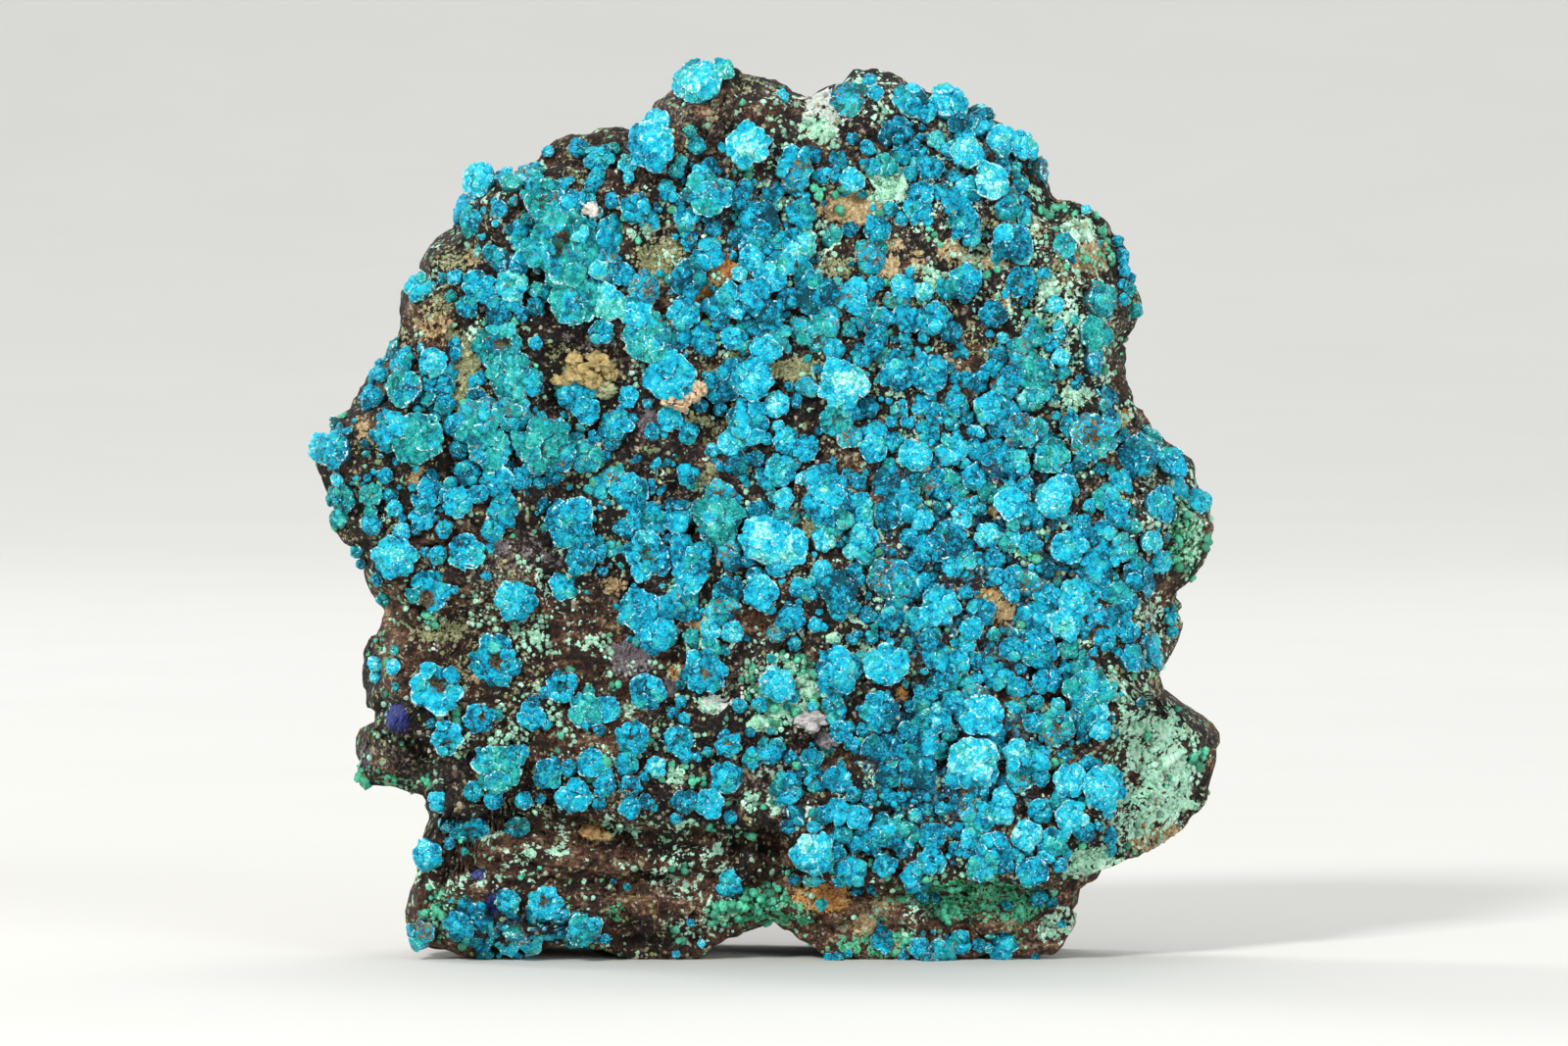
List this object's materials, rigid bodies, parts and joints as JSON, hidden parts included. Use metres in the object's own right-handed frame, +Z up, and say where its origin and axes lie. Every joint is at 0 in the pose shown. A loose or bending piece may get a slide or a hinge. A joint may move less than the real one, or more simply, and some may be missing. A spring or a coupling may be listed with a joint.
{
  "type": "lavendulan mineral specimen",
  "caption": "Natural slab of dark matrix crusted with blue lavendulan rosettes and green copper crusts, standing on its broken edge.",
  "frame": {"origin": "middle of the base, on the surface that the specimen stands on", "axes": "+Z up, -Y is the way the crusted face looks, +X to the viewer's right"},
  "size_m": [0.0606, 0.0222, 0.0599],
  "materials": {
    "lavendulan": "matte",
    "matrix": "matte",
    "malachite": "satin",
    "pale_crust": "matte"
  },
  "bodies": {
    "root": {"specimen": "lavendulan"}
  },
  "joints": []
}
